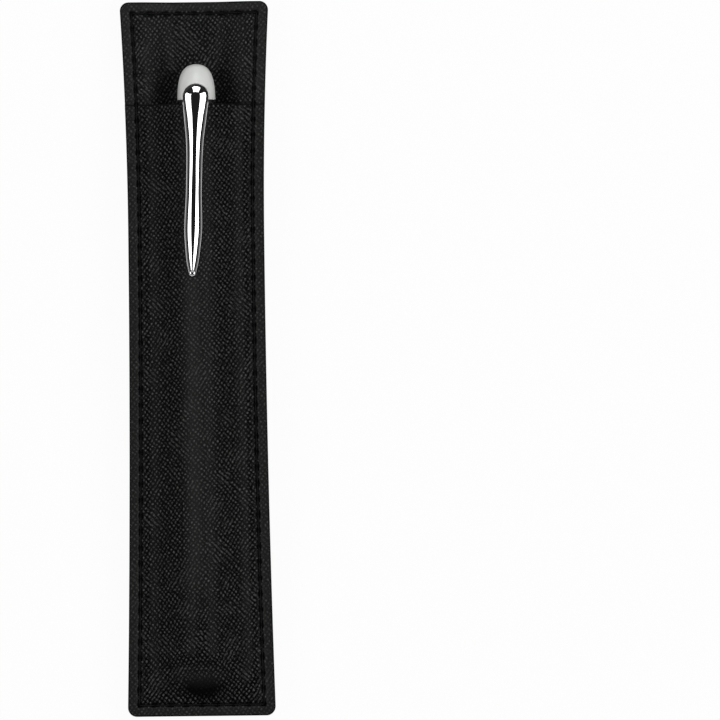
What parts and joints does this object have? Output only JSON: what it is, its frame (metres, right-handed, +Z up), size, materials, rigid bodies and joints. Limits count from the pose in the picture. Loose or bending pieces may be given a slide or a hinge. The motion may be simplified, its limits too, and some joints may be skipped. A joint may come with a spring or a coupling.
{
  "type": "fountain pen case",
  "caption": "Slim sewn leather sleeve with an open-topped pocket, holding a capped fountain pen whose domed crown and sprung clip stand over the pocket's mouth.",
  "frame": {"origin": "on the table, under the middle of the case as it lies on its back", "axes": "+Y along the pen towards the pocket's mouth, +Z up out of the pocket panel, +X across the case"},
  "size_m": [0.0352, 0.17, 0.0166],
  "materials": {
    "case_leather": "cross-grain embossed, satin",
    "board": "plain fibre board",
    "lining_cloth": "fine woven lining",
    "sewing_thread": "waxed twisted thread",
    "pale_crown": "smooth, soft gloss",
    "bright_chrome": "polished",
    "spring_steel": "drawn",
    "black_lacquer": "glossy lacquer",
    "black_plastic": "moulded, glossy",
    "liner_plastic": "moulded, plain",
    "nib_steel": "polished with fine grain",
    "clear_plastic": "clear",
    "seal_rubber": "smooth"
  },
  "bodies": {
    "sleeve": {"back_cover": "case_leather", "back_interlining": "board", "inner_facing": "case_leather", "pocket_panel": "case_leather", "pocket_lining": "lining_cloth", "front_thread": "sewing_thread", "back_thread": "sewing_thread"},
    "barrel": {"barrel": "black_lacquer", "barrel_tail": "bright_chrome"},
    "section": {"grip_section": "black_plastic", "section_ring": "bright_chrome", "nib": "nib_steel", "feed": "black_plastic", "converter_tube": "clear_plastic", "converter_collar": "bright_chrome"},
    "cap": {"cap_tube": "black_lacquer", "cap_band": "bright_chrome", "inner_cap": "liner_plastic", "cap_crown": "pale_crown", "crown_screw": "spring_steel", "clip_pin": "spring_steel", "clip_spring": "spring_steel"},
    "clip": {"clip": "bright_chrome"},
    "knob": {"converter_knob": "black_plastic"},
    "piston": {"converter_piston": "seal_rubber", "converter_rod": "spring_steel"}
  },
  "joints": [
    {"name": "pen_slide", "type": "slide", "parent": "sleeve", "child": "barrel", "axis": [0, 1, 0], "range_m": [0, 0.165]},
    {"name": "section_unscrew", "type": "slide", "parent": "barrel", "child": "section", "axis": [0, 1, 0], "range_m": [0, 0.075]},
    {"name": "cap_pull", "type": "slide", "parent": "section", "child": "cap", "axis": [0, 1, 0], "range_m": [0, 0.06]},
    {"name": "clip_flex", "type": "hinge", "parent": "cap", "child": "clip", "pos_m": [0.0004, 0.063, 0.01055], "axis": [-1, 0, 0], "range_deg": [0, 5], "stiffness_Nm_per_rad": 0.3},
    {"name": "knob_turn", "type": "hinge", "parent": "section", "child": "knob", "pos_m": [0.0004, -0.055, 0.00785], "axis": [0, 1, 0], "range_deg": [0, 1441]},
    {"name": "piston_slide", "type": "slide", "parent": "section", "child": "piston", "axis": [0, -1, 0], "range_m": [0, 0.016]}
  ],
  "couplings": [
    {"joint": "knob_turn", "follows": "piston_slide", "rad_per_m": 1570.8}
  ]
}
